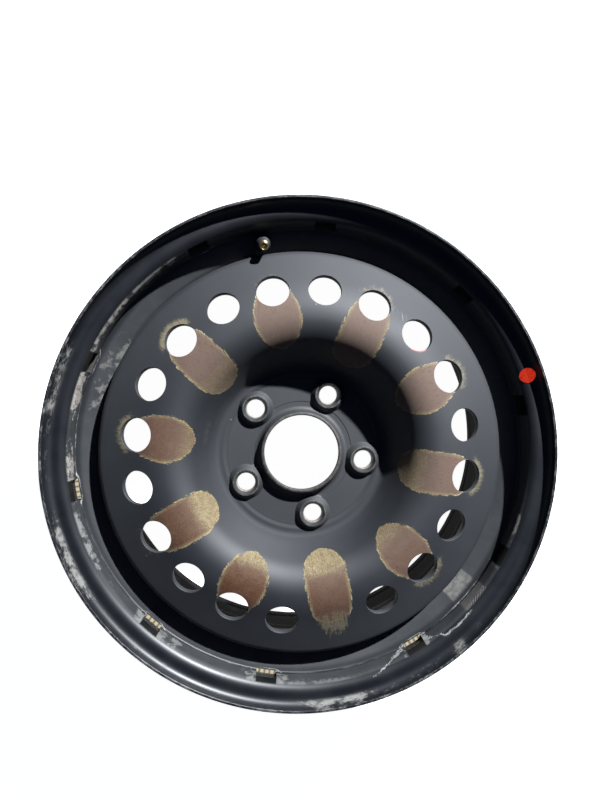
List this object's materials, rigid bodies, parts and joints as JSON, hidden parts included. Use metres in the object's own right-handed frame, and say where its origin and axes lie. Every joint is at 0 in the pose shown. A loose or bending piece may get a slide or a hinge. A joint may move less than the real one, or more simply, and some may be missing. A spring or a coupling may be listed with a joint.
{
  "type": "steel wheel rim",
  "caption": "Pressed steel road wheel with a drop-centre rim, a vented disc welded in the well, a centre bore, a bolt circle and a snap-in tyre valve.",
  "frame": {"origin": "centre of the bolt circle in the plane of the hub mounting face", "axes": "+Z along the wheel axis towards the outboard side, +Y towards the valve; the wheel lies on its inboard flange"},
  "size_m": [0.4406, 0.4404, 0.1891],
  "materials": {
    "rim_paint": "satin black paint, scuffed pale on the flange and bead seat",
    "disc_paint": "satin charcoal paint with brown worn patches below every second vent hole",
    "weld_paint": "painted weld",
    "valve_rubber": "dull black rubber",
    "valve_brass": "dull brass",
    "core_brass": "brass",
    "gasket": "plain plastic ring",
    "spring_wire": "bright wire",
    "mark_red": "flat red-orange paint dot"
  },
  "bodies": {
    "wheel": {"rim_barrel": "rim_paint", "wheel_disc": "disc_paint", "weld_beads": "weld_paint", "valve_body": "valve_rubber", "valve_stem": "valve_brass", "valve_core_body": "core_brass", "valve_core_gasket": "gasket", "valve_core_spring": "spring_wire", "match_dot": "mark_red"},
    "valve_pin": {"valve_core_pin": "core_brass", "valve_core_seal": "valve_rubber"}
  },
  "joints": [
    {"name": "valve_pin_press", "type": "slide", "parent": "wheel", "child": "valve_pin", "axis": [0, 0.342, -0.9397], "range_m": [0, 0.0015], "stiffness_N_per_m": 600, "springref_m": -0.0015, "deforming": ["valve_core_spring"]}
  ]
}
